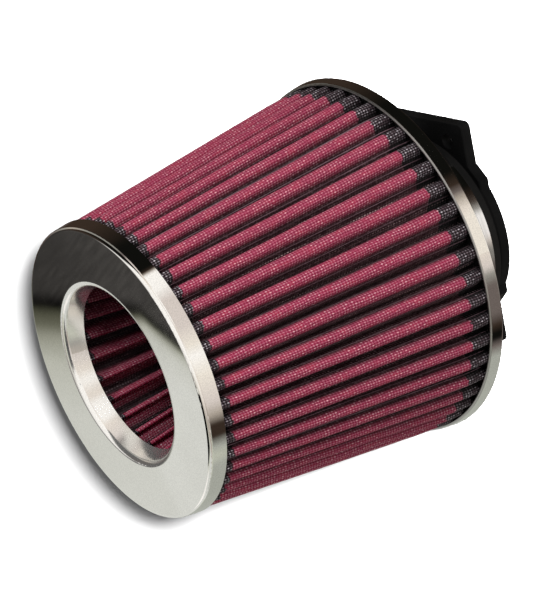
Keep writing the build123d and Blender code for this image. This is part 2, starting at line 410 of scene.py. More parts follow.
@dataclass(frozen=True)
class PleatFinish:
    """Oiled red gauze under a woven wire screen, with ends soaked in black resin.

    Lengths are in metres, depths are shares of a fold, and stretches are repeats a wire pitch. The colour
    darkens by fold depth as painted shade, and the wire tops carry painted glints.
    """

    name: str
    pack: PleatPack
    shade: Spans
    low_resin: float
    high_resin: float
    gauze_light: Colour
    gauze_dark: Colour
    gauze_warm: Colour
    wire_on_gauze: Colour
    # Painted highlights: the glint colours on gauze and on resin are laid on the wires' tops.
    glint_on_gauze: Colour
    # Painted shade: the valley, valley_wire and resin_valley colours are what the folds turn to deep down,
    # standing in for the shade there; valley_glint is painted glints on the wires in them.
    valley: Colour = (0.018, 0.0115, 0.0125)
    valley_wire: Colour = (0.13, 0.085, 0.09)
    valley_glint: Colour = (0.70, 0.50, 0.50)
    valley_span: Span = (0.5, 0.6)
    resin: Colour = (0.005, 0.0045, 0.005)
    resin_valley: Colour = (0.004, 0.004, 0.004)
    wire_on_resin: Colour = (0.115, 0.073, 0.087)
    glint_on_resin: Colour = (0.90, 0.84, 0.90)
    resin_soft: float = 0.0002
    ragged: float = 0.0016
    pleat_soak: float = 0.4
    # Painted highlight: a thin light line along each flank at the given depth, fading with the streaks.
    flank_highlight: Colour = (0.30, 0.19, 0.22)
    flank_depth: float = 0.0
    flank_width: Span = (0.022, 0.010)
    flank_span: Span = (0.25, 0.6)
    flank_levels: Span = (0.2, 0.9)
    # Painted light: the flank lift below takes painted shade off one flank of each fold, as if that flank
    # were lit.
    lit_flank_lift: float = 0.0
    lit_flank_span: Span = (0.5, 0.42)
    streak_stretch: Span = (0.8, 0.035)
    streak_share: float = 0.6
    thread_share: float = 0.5
    light_span: Span = (0.3, 0.8)
    patch_stretch: Span = (0.5, 0.22)
    warm_span: Span = (0.45, 0.72)
    row_span: Span = (0.72, 0.74)
    row_stretch: float = 0.06
    shown_span: Span = (0.45, 0.58)
    sparkle_power: float = 1.15
    wire_share: float = 0.75
    wire_metal: float = 0.2
    wire_rough: float = 0.42
    gauze_rough: float = 0.8

    def _depth(self, bench: NodeBench, inside: Socket) -> Socket:
        """Gives how deep in the fold a place is, from 0 on the crown that shows to 1 in the valley."""
        from_middle = bench.times(bench.math("ABSOLUTE", bench.minus(inside, 0.5)), 2.0)
        return from_middle if self.pack.facing is Facing.OUTWARD else bench.minus(1.0, from_middle)

    def _resin(self, bench: NodeBench, along: Socket, luck: Socket) -> Socket:
        """Gives the mask of the ends that the resin has soaked.

        Args:
            bench: the material's node bench.
            along: the place along the pack, in wire pitches.
            luck: a number from 0 to 1 that makes the resin's edge ragged.

        Returns:
            The mask.
        """
        pitch, soft = self.pack.wire_pitch * MM, self.resin_soft
        height = bench.times(along, pitch)
        offset = bench.scaled(luck, self.ragged, -0.5 * self.ragged)
        low = bench.step(bench.plus(height, offset), self.low_resin + soft, self.low_resin - soft)
        top = self.pack.wires_along * pitch - self.high_resin
        return bench.math("MAXIMUM", low, bench.step(bench.minus(height, offset), top - soft, top + soft))

    def _gauze(self, bench: NodeBench, across: Socket, along: Socket, luck: Socket) -> tuple[Socket, Socket]:
        """Gives the red of the gauze, with streaks, threads and warmer patches.

        Args:
            bench: the material's node bench.
            across: the place across the folds, in wire pitches.
            along: the place along the pack, in wire pitches.
            luck: the pleat's own number from 0 to 1.

        Returns:
            The red, and the streaks in it from 0 to 1.
        """
        stretches = (self.streak_stretch, self.patch_stretch)
        streaks, patches = ((bench.times(across, wide), bench.times(along, tall)) for wide, tall in stretches)
        streak = bench.grain(bench.point(*streaks), detail=3.0)
        thread = bench.grain(bench.point(across, along), scale=2.3)
        shares = (bench.times(streak, self.streak_share), bench.times(thread, self.thread_share))
        tone = bench.math("ADD", *shares, clamp=True)
        red = bench.blend(bench.step(tone, *self.light_span), self.gauze_dark, self.gauze_light)
        patch = bench.grain(bench.point(*patches, luck), detail=2.0)
        return bench.blend(bench.step(patch, *self.warm_span), red, self.gauze_warm), streak

    def build(self, effects: Effects) -> Material:
        """Builds the material on the pack's own UV map.

        Args:
            effects: the shared node groups.

        Returns:
            The material.
        """
        finish = Finish(self.name)
        bench = finish.bench
        across, along, _ = bench.parts(bench.add("ShaderNodeUVMap", uv_map="screen").outputs[0])
        pleat = bench.math("DIVIDE", across, self.pack.wires_across)
        number = bench.math("FLOOR", pleat)
        inside = bench.minus(pleat, number)
        depth = shaded = self._depth(bench, inside)
        # Painted light: one flank of each fold keeps more of its colour, as if lit from its side.
        if self.lit_flank_lift:
            shaded = bench.minus(depth, bench.step(inside, *self.lit_flank_span, 0.0, self.lit_flank_lift))
        luck = bench.chance(bench.point(number, Draw.PLEAT.value))
        aside, ahead, _ = bench.drift(bench.point(across, along, luck), scale=0.07, reach=0.9)
        wire_u, wire_v = bench.plus(across, aside), bench.plus(along, ahead)
        screen = finish.effect(effects.wire_screen, Across=wire_u, Along=wire_v, Radius=0.25)
        cell = (bench.math("FLOOR", wire_u), bench.math("FLOOR", wire_v))
        drop, spark = (bench.chance(bench.point(*cell, draw.value)) for draw in (Draw.SOAK, Draw.SPARKLE))
        soak = bench.scaled(luck, self.pleat_soak, bench.times(drop, 1.0 - self.pleat_soak))
        resin = self._resin(bench, along, soak)
        sparkle = bench.math("POWER", spark, self.sparkle_power)
        red, streak = self._gauze(bench, across, along, luck)

        wire = bench.blend(resin, self.wire_on_gauze, self.wire_on_resin)
        # Painted highlights: glint colours laid on the wires' tops where the Glint mask and sparkle are high.
        glint = bench.blend(resin, self.glint_on_gauze, self.glint_on_resin)
        crown = bench.blend(resin, red, self.resin)
        crown = bench.blend(bench.times(screen["Wire"], self.wire_share), crown, wire)
        crown = bench.blend(bench.times(screen["Glint"], sparkle), crown, glint)
        # Painted shade: the valley colours, with dimmed wires, stand in for the shade deep in the folds, and
        # the colour darkens towards them by fold depth.
        valley = bench.blend(bench.times(screen["Wire"], sparkle), self.valley, self.valley_wire)
        valley = bench.blend(resin, valley, self.resin_valley)
        colour = bench.blend(bench.grey_ramp(shaded, self.shade), crown, valley)
        # Painted highlights: rows of glint dots on the wires deep in the valleys.
        row = bench.step(bench.chance(bench.point(cell[0], Draw.ROW.value)), *self.row_span)
        stretch = bench.grain(bench.point(bench.times(along, self.row_stretch), cell[0]))
        shown = bench.times(row, bench.step(stretch, *self.shown_span))
        dots = bench.times(screen["Glint"], bench.times(bench.step(depth, *self.valley_span), shown))
        colour = bench.blend(dots, colour, self.valley_glint)
        # Painted highlight: a thin light line along each flank, as on a lit wire, fading with the streaks.
        if self.flank_depth:
            off_line = bench.math("ABSOLUTE", bench.minus(depth, self.flank_depth))
            line_fade = bench.step(streak, *self.flank_span, *self.flank_levels)
            line = bench.times(bench.step(off_line, *self.flank_width), line_fade)
            colour = bench.blend(line, colour, self.flank_highlight)
        metal = bench.times(screen["Wire"], self.wire_metal)
        rough = bench.step(screen["Wire"], 0.0, 1.0, self.gauze_rough, self.wire_rough)
        normal = bench.relief(screen["Height"], depth=0.00025, strength=0.8)
        finish.drive(Base_Color=colour, Metallic=metal, Roughness=rough, Normal=normal)
        finish.drive(Specular_IOR_Level=0.25)
        return finish.material


@dataclass(frozen=True)
class BrightFinish:
    """Polished plating with faint ripples and handling marks.

    It is duller on the drawn collar and on the band's turned edge, and the turned edge's colour is darkened
    as painted shade that dims its mirrored highlight. Lengths are in metres.
    """

    name: str = "bright_plating"
    tint: Colour = (0.83, 0.82, 0.79)
    smudge_tint: Colour = (0.80, 0.79, 0.76)
    smudge_rough: float = 0.015
    speck_span: Span = (0.32, 0.68)
    speck_levels: Span = (0.93, 1.03)
    polish: float = 0.02
    soft: float = 0.001
    collar_radius: float = 0.0389
    collar_rough: float = 0.14
    collar_metal: float = 0.87
    edge_height: float = 0.0434
    edge_soft: float = 0.0002
    edge_radius: float = 0.070
    edge_shade_level: float = 0.4
    edge_rough: float = 0.3

    def build(self, effects: Effects) -> Material:
        """Builds the material.

        Args:
            effects: the shared node groups.

        Returns:
            The material.
        """
        finish = Finish(self.name)
        bench = finish.bench
        place = finish.place()
        x, y, z = bench.parts(place)
        radius = bench.from_axis(x, y)
        marks = finish.effect(effects.handling, Place=place, Smudge_Scale=38.0, Grain_Scale=140.0)
        past_edge = bench.step(z, self.edge_height - self.edge_soft, self.edge_height + self.edge_soft)
        turned = bench.times(past_edge, bench.step(radius, self.edge_radius - self.soft, self.edge_radius))
        speck = bench.step(bench.grain(place, scale=2300.0), *self.speck_span, *self.speck_levels)
        colour = bench.dimmed(bench.blend(marks["Smudge"], self.tint, self.smudge_tint), speck)
        # Painted shade: the turned edge's colour is darkened to dim its mirrored highlight.
        colour = bench.dimmed(colour, bench.step(turned, 0.0, 1.0, 1.0, self.edge_shade_level))
        collar = (self.collar_radius, self.collar_radius - self.soft)
        drawn = bench.step(radius, *collar, self.polish, self.collar_rough)
        rough = bench.scaled(marks["Smudge"], self.smudge_rough, drawn)
        rough = bench.plus(rough, bench.times(turned, self.edge_rough))
        metal = bench.step(radius, *collar, 1.0, self.collar_metal)
        normal = bench.relief(marks["Grain"], depth=0.00001, strength=0.05)
        finish.drive(Base_Color=colour, Roughness=rough, Metallic=metal, Normal=normal)
        return finish.material


@dataclass(frozen=True)
class StripFinish:
    """Rolled stainless strip, brushed along its length."""

    name: str = "clamp_strip"
    light: Colour = (0.80, 0.79, 0.78)
    dark: Colour = (0.66, 0.655, 0.65)
    brush_stretch: Span = (1.5, 5200.0)
    smudge_rough: float = 0.10
    polish: float = 0.10

    def build(self, effects: Effects) -> Material:
        """Builds the material.

        Args:
            effects: the shared node groups.

        Returns:
            The material.
        """
        finish = Finish(self.name)
        bench = finish.bench
        place = finish.place()
        x, y, z = bench.parts(place)
        around, upward = self.brush_stretch
        turn = bench.times(bench.math("ARCTAN2", y, x), around)
        lines = bench.grain(bench.point(turn, bench.times(z, upward)), detail=2.0)
        marks = finish.effect(effects.handling, Place=place, Smudge_Scale=70.0)
        colour = bench.blend(bench.step(lines, *NOISE_SPAN), self.dark, self.light)
        rough = bench.scaled(marks["Smudge"], self.smudge_rough, self.polish)
        normal = bench.relief(lines, depth=0.00001, strength=0.2)
        finish.drive(Base_Color=colour, Roughness=rough, Metallic=1.0, Normal=normal)
        return finish.material


@dataclass(frozen=True)
class BlackFinish:
    """Black coating or rubber with grain, dust and slight unevenness."""

    name: str
    ground: Colour
    dust: Colour
    rough_low: float
    rough_high: float
    grain_scale: float
    grain_depth: float
    shine: float
    dust_share: float = 0.6

    def build(self, effects: Effects) -> Material:
        """Builds the material.

        Args:
            effects: the shared node groups.

        Returns:
            The material.
        """
        finish = Finish(self.name)
        bench = finish.bench
        place, scale = finish.place(), self.grain_scale
        marks = finish.effect(effects.handling, Place=place, Smudge_Scale=45.0, Grain_Scale=scale)
        colour = bench.blend(bench.times(marks["Smudge"], self.dust_share), self.ground, self.dust)
        rough = bench.step(marks["Grain"], *NOISE_SPAN, self.rough_low, self.rough_high)
        normal = bench.relief(marks["Grain"], self.grain_depth, strength=0.6)
        finish.drive(Base_Color=colour, Roughness=rough, Normal=normal, Specular_IOR_Level=self.shine)
        return finish.material


def place_mesh(name: str, mesh: BMesh, smooth: bool = True) -> Object:
    """Turns a finished bmesh into an object of the scene.

    Args:
        name: the object's name.
        mesh: the bmesh, which is freed.
        smooth: whether its faces are shaded smooth.

    Returns:
        The object, at the origin.
    """
    data = bpy.data.meshes.new(name)
    mesh.to_mesh(data)
    mesh.free()
    if smooth:
        data.shade_smooth()
    piece = bpy.data.objects.new(name, data)
    bpy.context.scene.collection.objects.link(piece)
    return piece


class ProfilePen:
    """Draws an open chain of edges with extrusions and spins, as a turtle does."""

    def __init__(self, mesh: BMesh, start: Vector) -> None:
        """Sets the pen down.

        Args:
            mesh: the mesh to draw in.
            start: the first vertex's place.
        """
        self.mesh = mesh
        self.chain = [mesh.verts.new(start)]

    def line(self, end: Vector, parts: int) -> None:
        """Draws a straight run.

        Args:
            end: where it stops.
            parts: the number of edges along it.
        """
        start = self.chain[-1].co.copy()
        for part in range(1, parts + 1):
            made = bmesh.ops.extrude_vert_indiv(self.mesh, verts=[self.chain[-1]])["verts"][0]
            made.co = start.lerp(end, part / parts)
            self.chain.append(made)

    def arc(self, centre: Vector, angle: float, steps: int) -> None:
        """Draws an arc about an axis along Z.

        Args:
            centre: the arc's centre.
            angle: how far it turns, in radians.
            steps: the number of edges along it.
        """
        for _ in range(steps):
            made = bmesh.ops.spin(
                self.mesh, geom=[self.chain[-1]], cent=centre, axis=AXIS, angle=angle / steps, steps=1
            )["geom_last"]
            self.chain.append(next(item for item in made if isinstance(item, bmesh.types.BMVert)))

    def edges(self) -> list[bmesh.types.BMEdge]:
        """Gives the chain's edges in order."""
        return [self.mesh.edges.get(pair) for pair in zip(self.chain, self.chain[1:])]


@dataclass
class PleatPack:
    """A cone of folded gauze. Lengths are in millimetres, and turn is in degrees."""

    name: str
    node: str
    count: int
    turn: float
    low_z: float
    high_z: float
    low_peak: float
    high_peak: float
    depth: float
    peak_share: float
    root_share: float
    facing: Facing
    wires_across: int
    wire_pitch: float = 1.25
    gauze: float = 1.3
    peak_steps: int = 10
    root_steps: int = 3
    flank_parts: int = 2
    levels: int = 18
    seam: float = 0.02
    sway: float = 0.3
    sway_out: float = 0.6
    waves_around: float = 9.0
    waves_a_metre: float = 14.0
    bulge: float = 0.0
    held_share: float = 0.08
    seed: float = 0.0

    @property
    def pitch(self) -> float:
        """Gives the angle from one pleat to the next, in radians."""
        return 2.0 * math.pi / self.count

    @property
    def wires_along(self) -> int:
        """Gives the number of wires along the pack."""
        slant = math.hypot(self.high_z - self.low_z, self.high_peak - self.low_peak)
        return round(slant / self.wire_pitch)

    @staticmethod
    def _polar(radius: float, angle: float) -> Vector:
        """Gives a point at a radius in millimetres and an angle in radians."""
        return Vector((radius * math.cos(angle), radius * math.sin(angle), 0.0)) * MM

    def _draw_fold(self, mesh: BMesh, peak: float, height: float) -> ProfilePen:
        """Draws one pleat's section from root to root.

        Args:
            mesh: the mesh to draw in.
            peak: the outermost radius there, in millimetres.
            height: the section's height, in millimetres.

        Returns:
            The pen, with the chain it drew.
        """
        inside = peak - self.depth
        crown_half = self.peak_share * math.pi * peak / self.count
        fold_half = self.root_share * math.pi * inside / self.count
        peak_half, root_half = crown_half, fold_half - self.gauze
        if self.facing is Facing.INWARD:
            peak_half, root_half = crown_half - self.gauze, fold_half
        turn = math.radians(self.turn)
        level = Vector((0.0, 0.0, height * MM))
        quarter, half_pitch = math.pi / 2.0, self.pitch / 2.0
        crown = self._polar(peak - crown_half, turn) + level
        first_root = self._polar(inside + fold_half, turn - half_pitch) + level
        last_root = self._polar(inside + fold_half, turn + half_pitch) + level
        pen = ProfilePen(mesh, first_root - self._polar(root_half, turn - half_pitch))
        pen.arc(first_root, quarter, self.root_steps)
        pen.line(crown + self._polar(peak_half, turn - quarter), self.flank_parts)
        pen.arc(crown, 2.0 * quarter, self.peak_steps)
        pen.line(last_root + self._polar(root_half, turn + half_pitch - quarter), self.flank_parts)
        pen.arc(last_root, -quarter, self.root_steps)
        return pen

    @staticmethod
    def _mark_screen(mesh: BMesh, pens: tuple[ProfilePen, ProfilePen]) -> None:
        """Notes on each vertex how far along the fold and up the pack it is.

        Args:
            mesh: the mesh that holds both sections.
            pens: the low and the high section.
        """
        run = mesh.verts.layers.float["run"]
        rise = mesh.verts.layers.float["rise"]
        for pen, level in zip(pens, (0.0, 1.0)):
            length = sum(edge.calc_length() for edge in pen.edges())
            done = 0.0
            for before, vert in zip([None, *pen.chain], pen.chain):
                done += (vert.co - before.co).length if before else 0.0
                vert[run] = done / length
                vert[rise] = level

    def _lay_screen(self, mesh: BMesh) -> None:
        """Writes the UV map, in wire pitches, one pleat after the other.

        Args:
            mesh: the mesh with all its pleats.
        """
        run = mesh.verts.layers.float["run"]
        rise = mesh.verts.layers.float["rise"]
        screen = mesh.loops.layers.uv["screen"]
        for face in mesh.faces:
            middle = face.calc_center_median()
            angle = math.atan2(middle.y, middle.x) - math.radians(self.turn)
            number = round(angle / self.pitch) % self.count
            for loop in face.loops:
                across = (number + loop.vert[run]) * self.wires_across
                loop[screen].uv = (across, loop.vert[rise] * self.wires_along)

    def _make_uneven(self, mesh: BMesh) -> None:
        """Lets the pleats bulge and sway a little between their two held ends.

        Args:
            mesh: the mesh with all its pleats.
        """
        rise = mesh.verts.layers.float["rise"]
        elsewhere = Vector((31.0, 7.0, 0.0))
        for vert in mesh.verts:
            free = math.sin(math.pi * vert[rise])
            angle = math.atan2(vert.co.y, vert.co.x)
            east, north = math.cos(angle) * self.waves_around, math.sin(angle) * self.waves_around
            spot = Vector((east + self.seed, north, vert.co.z * self.waves_a_metre))
            aside = noise.noise(spot) * self.sway * free
            out = noise.noise(spot + elsewhere) * self.sway_out * self.sway * free
            held = min(1.0, vert[rise] / self.held_share)
            out += self.bulge * (1.0 - vert[rise]) * held * held * (3.0 - 2.0 * held)
            vert.co += self._polar(out, angle) + self._polar(aside, angle + math.pi / 2.0)

    def _turn_faces(self, mesh: BMesh) -> None:
        """Points the faces to the side that shows.

        Args:
            mesh: the mesh with all its pleats.
        """
        bmesh.ops.recalc_face_normals(mesh, faces=mesh.faces)
        mesh.normal_update()
        outward = sum(face.normal.xy.dot(face.calc_center_median().xy) for face in mesh.faces)
        if outward * self.facing.value < 0.0:
            bmesh.ops.reverse_faces(mesh, faces=mesh.faces)

    def dress(self, material: Material) -> Object:
        """Builds the pack as one folded sheet with a thickness, in its node's place.

        Args:
            material: the pack's finish.

        Returns:
            The finished object.
        """
        mesh = bmesh.new()
        for layer in ("run", "rise"):
            mesh.verts.layers.float.new(layer)
        mesh.loops.layers.uv.new("screen")
        low = self._draw_fold(mesh, self.low_peak, self.low_z)
        high = self._draw_fold(mesh, self.high_peak, self.high_z)
        self._mark_screen(mesh, (low, high))
        bmesh.ops.bridge_loops(mesh, edges=low.edges() + high.edges())
        rise = mesh.verts.layers.float["rise"]
        uprights = [edge for edge in mesh.edges if edge.verts[0][rise] != edge.verts[1][rise]]
        bmesh.ops.subdivide_edges(mesh, edges=uprights, cuts=self.levels - 1, use_grid_fill=True)
        bmesh.ops.spin(
            mesh, geom=[*mesh.verts, *mesh.edges, *mesh.faces], axis=AXIS, use_duplicate=True,
            angle=2.0 * math.pi - self.pitch, steps=self.count - 1,
        )
        self._lay_screen(mesh)
        bmesh.ops.remove_doubles(mesh, verts=mesh.verts, dist=self.seam * MM)
        self._turn_faces(mesh)
        self._make_uneven(mesh)
        bmesh.ops.solidify(mesh, geom=mesh.faces[:], thickness=self.gauze * MM)
        piece = place_mesh(self.name, mesh)
        piece.data.materials.append(material)
        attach(piece, BODY)
        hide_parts(self.node)
        return piece


@dataclass
class WormThread:
    """The thread on the clamp's worm screw, whose axis runs along Y. Lengths are in millimetres.

    The section's corners are in shares of the lead and of the thread's height.
    """

    name: str = "worm_thread"
    axis_x: float = 46.0
    axis_z: float = 17.15
    root_radius: float = 3.25
    height: float = 0.5
    lead: float = 1.6
    start_y: float = -6.9
    turns: float = 8.2
    steps_a_turn: int = 28
    corners: Spans = ((-0.5, 0.0), (-0.2, 1.0), (0.2, 1.0), (0.5, 0.0))

    def dress(self, material: Material) -> Object:
        """Builds the thread by spinning its section along the axis.

        Args:
            material: the screw's finish.

        Returns:
            The finished object.
        """
        mesh = bmesh.new()
        section = []
        for along, out in self.corners:
            away = self.axis_x + self.root_radius + out * self.height
            place = Vector((away, self.start_y + along * self.lead, self.axis_z))
            section.append(mesh.verts.new(place * MM))
        edges = [mesh.edges.new(pair) for pair in zip(section, section[1:])]
        bmesh.ops.spin(
            mesh, geom=section + edges, cent=Vector((self.axis_x, 0.0, self.axis_z)) * MM,
            axis=(0.0, 1.0, 0.0), dvec=(0.0, self.lead * MM / self.steps_a_turn, 0.0),
            angle=2.0 * math.pi * self.turns, steps=round(self.turns * self.steps_a_turn),
        )
        bmesh.ops.recalc_face_normals(mesh, faces=mesh.faces)
        piece = place_mesh(self.name, mesh)
        piece.data.materials.append(material)
        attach(piece, BODY)
        return piece


@dataclass
class CarriedNodes:
    """The solids that keep their own shape and only get a finish."""

    nodes: dict[str, Object]

    def dress(self, finishes: dict[str, Material]) -> None:
        """Gives each named solid its finish.

        Args:
            finishes: node names and their materials.
        """
        for name, material in finishes.items():
            self.nodes[name].data.materials.clear()
            self.nodes[name].data.materials.append(material)
            LOG.info("%s keeps its shape and gets %s", name, material.name)


@dataclass(frozen=True)
class Lamp:
    """A square soft lamp. Its place and size are in metres, its power in watts."""

    name: str
    place: Vector
    size: float
    power: float

    def build(self, target: Vector, receivers: bpy.types.Collection) -> None:
        """Hangs the lamp.

        Args:
            target: the point that it shines at.
            receivers: what it lights.
        """
        data = bpy.data.lights.new(self.name, "AREA")
        data.size = self.size
        data.energy = self.power
        lamp = bpy.data.objects.new(self.name, data)
        lamp.location = self.place
        lamp.rotation_euler = (target - self.place).to_track_quat("-Z", "Y").to_euler()
        lamp.visible_glossy = False
        lamp.light_linking.receiver_collection = receivers
        bpy.context.scene.collection.objects.link(lamp)


class Wall(Enum):
    """The colours in the room."""

    WHITE = (1.15, 1.12, 1.09)
    IVORY = (1.00, 0.93, 0.84)
    CREAM = (0.90, 0.81, 0.73)
    BEIGE = (0.80, 0.72, 0.68)
    TAN = (0.50, 0.44, 0.38)
    SLATE = (0.33, 0.32, 0.29)
    TAUPE = (0.17, 0.14, 0.13)
    UMBER = (0.045, 0.030, 0.022)
    SOOT = (0.006, 0.006, 0.005)
    PALE = (0.64, 0.66, 0.56)
    GREY = (0.45, 0.465, 0.42)
    PLASTER = (0.78, 0.79, 0.755)
    CLOTH = (0.048, 0.045, 0.043)


def turn_share(degrees: float) -> float:
    """Gives a bearing's place on a ramp that runs once round the room."""
    return degrees / 360.0 + 0.5


@dataclass(frozen=True)
class Ring:
    """A stretch of wall all round the room, which takes over between two tilts.

    Each wall comes with the bearings that it spans, and walls blend in between. Angles are in degrees.
    """

    walls: tuple[tuple[Wall | float, ...], ...]
    start: float = -90.0
    full: float = -90.0

    def stops(self) -> tuple[tuple[float, Colour], ...]:
        """Gives the ring as stops of a colour ramp."""
        spans = ((wall.value, bearings) for wall, *bearings in self.walls)
        return tuple((turn_share(bearing), colour) for colour, bearings in spans for bearing in bearings)


@dataclass
class Room:
    """What bright metal mirrors: rings of wall, a dark cloth and a lit ceiling. Angles are in degrees."""

    bench: NodeBench
    deep_ring: Ring = Ring(walls=(
        (Wall.WHITE, -180, -163), (Wall.SLATE, -155), (Wall.UMBER, -147), (Wall.SOOT, -126, -60),
        (Wall.UMBER, 0), (Wall.TAUPE, 80, 136), (Wall.SLATE, 146, 156), (Wall.CREAM, 165),
        (Wall.WHITE, 176, 180),
    ))
    low_ring: Ring = Ring(start=-34.5, full=-32.0, walls=(
        (Wall.IVORY, -180, -158), (Wall.CREAM, -152), (Wall.TAN, -146), (Wall.TAUPE, -142),
        (Wall.UMBER, -138), (Wall.SOOT, -130, -72), (Wall.UMBER, -30, 2), (Wall.TAUPE, 14),
        (Wall.GREY, 34, 114), (Wall.TAUPE, 122), (Wall.SOOT, 127, 131), (Wall.UMBER, 136),
        (Wall.TAUPE, 144, 161), (Wall.SLATE, 167), (Wall.BEIGE, 172), (Wall.CREAM, 180),
    ))
    middle_ring: Ring = Ring(start=-16.4, full=-14.9, walls=(
        (Wall.IVORY, -180), (Wall.WHITE, -166), (Wall.IVORY, -158), (Wall.BEIGE, -144, -123),
        (Wall.WHITE, -113, -100.5), (Wall.TAN, -99), (Wall.UMBER, -97.5), (Wall.SOOT, -95, -60),
        (Wall.UMBER, -22, 2), (Wall.TAUPE, 14), (Wall.GREY, 30, 52), (Wall.PALE, 68, 116), (Wall.GREY, 125),
        (Wall.UMBER, 134, 143), (Wall.TAN, 151), (Wall.BEIGE, 160), (Wall.IVORY, 180),
    ))
    upper_ring: Ring = Ring(start=-9.6, full=-7.6, walls=(
        (Wall.CREAM, -180), (Wall.WHITE, -166), (Wall.CREAM, -150, -144), (Wall.WHITE, -136, -114),
        (Wall.CREAM, -106), (Wall.BEIGE, -86), (Wall.TAUPE, -77), (Wall.SLATE, -68, -38), (Wall.TAN, -19),
        (Wall.SLATE, -10), (Wall.TAUPE, 1), (Wall.UMBER, 14), (Wall.GREY, 22), (Wall.PLASTER, 37, 88),
        (Wall.GREY, 101), (Wall.PALE, 112, 134), (Wall.SLATE, 145), (Wall.TAN, 155), (Wall.BEIGE, 165),
        (Wall.CREAM, 180),
    ))
    high_ring: Ring = Ring(start=13.0, full=17.0, walls=(
        (Wall.IVORY, -180, -166), (Wall.BEIGE, -150, -128), (Wall.IVORY, -112), (Wall.CREAM, -99),
        (Wall.SOOT, -94, -40), (Wall.UMBER, -12, 4), (Wall.PLASTER, 8, 54), (Wall.WHITE, 60, 76),
        (Wall.PLASTER, 84, 113), (Wall.TAN, 127, 140), (Wall.BEIGE, 152), (Wall.IVORY, 170, 180),
    ))
    top_ring: Ring = Ring(start=39.0, full=46.0, walls=(
        (Wall.IVORY, -180), (Wall.BEIGE, -150, -104), (Wall.SOOT, -94, -10), (Wall.UMBER, 15),
        (Wall.TAUPE, 30), (Wall.TAN, 45), (Wall.PALE, 60, 110), (Wall.TAN, 130), (Wall.CREAM, 150),
        (Wall.IVORY, 180),
    ))
    ceiling_edge: Spans = (
        (-100, 26), (-90, 33), (-70, 47), (-50, 53), (-30, 55), (-10, 49), (10, 36), (22, 32),
    )
    ceiling_soft: float = 3.0
    ceiling_side: Span = (0.40, -0.05)
    corner_shade: tuple[tuple[float, Colour], ...] = (
        (0.0, (0.02, 0.02, 0.013)), (0.25, (0.11, 0.11, 0.08)), (0.6, (0.20, 0.20, 0.155)),
        (0.95, (0.45, 0.45, 0.39)), (1.7, (0.72, 0.72, 0.67)), (3.3, (0.89, 0.89, 0.87)), (8.0, WHITE),
    )
    corner: float = 21.87
    corner_tilt: float = 24.3
    corner_lean: float = 0.6
    corner_soft: float = 0.05
    lean_tilts: Span = (18.0, 27.4)
    bend_tilt: float = 26.38
    bend_lean: float = 1.8
    narrow_tilts: Span = (25.0, 26.0)
    narrow_by: float = 4.0
    shade_start: Span = (4.0, 8.0)
    cloth_start: Span = (-8.0, 4.0)
    cloth_across: Span = (9.8, 7.0)
    cloth_along: Span = (-0.9, 1.2)
    cloth_levels: Span = (0.72, 1.28)
    lit_tilts: Span = (24.3, 26.6)
    lit_levels: Span = (0.88, 1.3)
    hem: Span = (-0.55, -0.08)
    hem_level: float = 0.18

    def __post_init__(self) -> None:
        """Finds the bearing, the tilt and the share of a turn of each direction."""
        bench = self.bench
        x, self.side, z = bench.parts(bench.add("ShaderNodeTexCoord").outputs["Generated"])
        self.bearing = bench.math("DEGREES", bench.math("ARCTAN2", self.side, x))
        self.tilt = bench.math("DEGREES", bench.math("ARCSINE", z))
        self.around = bench.scaled(self.bearing, 1.0 / 360.0, 0.5)

    def _past_corner(self) -> Socket:
        """Measures how far a direction is past the leaning corner where the cloth ends.

        Returns:
            The degrees, below 0 on the cloth's side.
        """
        bench = self.bench
        lowest, highest = self.lean_tilts
        held = bench.math("MINIMUM", bench.math("MAXIMUM", self.tilt, lowest), highest)
        lean = bench.scaled(held, self.corner_lean, self.corner - self.corner_lean * self.corner_tilt)
        bend = bench.times(bench.math("MAXIMUM", bench.minus(held, self.bend_tilt), 0.0), self.bend_lean)
        return bench.minus(self.bearing, bench.plus(lean, bend))

    def _cloth(self, past: Socket) -> Socket:
        """Weaves the dark cloth on the slant, with its shade at the corner.

        Args:
            past: the degrees past the corner.

        Returns:
            The cloth's colour.
        """
        bench = self.bench
        threads = (
            bench.plus(bench.times(self.bearing, wide), bench.times(self.tilt, tall))
            for wide, tall in (self.cloth_across, self.cloth_along)
        )
        weave = bench.grain(bench.point(*threads), detail=2.0)
        level = bench.step(weave, *NOISE_SPAN, *self.cloth_levels)
        level = bench.times(level, bench.step(self.tilt, *self.lit_tilts, *self.lit_levels))
        level = bench.times(level, bench.step(past, *self.hem, 1.0, self.hem_level))
        return bench.dimmed(Wall.CLOTH.value, level)

    def _above(self) -> Socket:
        """Colours the walls above the middle, with the shade at the corner and the dark cloth beside it.

        Returns:
            The walls' colour.
        """
        bench = self.bench
        past = self._past_corner()
        width = self.corner_shade[-1][0]
        stops = tuple((place / width, level) for place, level in self.corner_shade)
        spread = bench.times(past, bench.step(self.tilt, *self.narrow_tilts, 1.0, self.narrow_by))
        shade = bench.ramp(bench.math("DIVIDE", spread, width), stops)
        walls = self._laid(self.top_ring, bench.ramp(self.around, self.high_ring.stops()))
        walls = bench.blend(bench.step(self.bearing, *self.shade_start), walls, bench.dimmed(walls, shade))
        before = bench.step(past, self.corner_soft, -self.corner_soft)
        covered = bench.times(bench.step(self.bearing, *self.cloth_start), before)
        return bench.blend(covered, walls, self._cloth(past))

    def _ceiling(self) -> Socket:
        """Marks the lit ceiling, which starts higher over the dark side and fades to one side.

        Returns:
            Its mask.
        """
        bench = self.bench
        stops = tuple((turn_share(bearing), tilt / 90.0) for bearing, tilt in self.ceiling_edge)
        over = bench.minus(self.tilt, bench.times(bench.grey_ramp(self.around, stops), 90.0))
        lit = bench.step(over, -self.ceiling_soft, self.ceiling_soft)
        return bench.times(lit, bench.step(self.side, *self.ceiling_side))

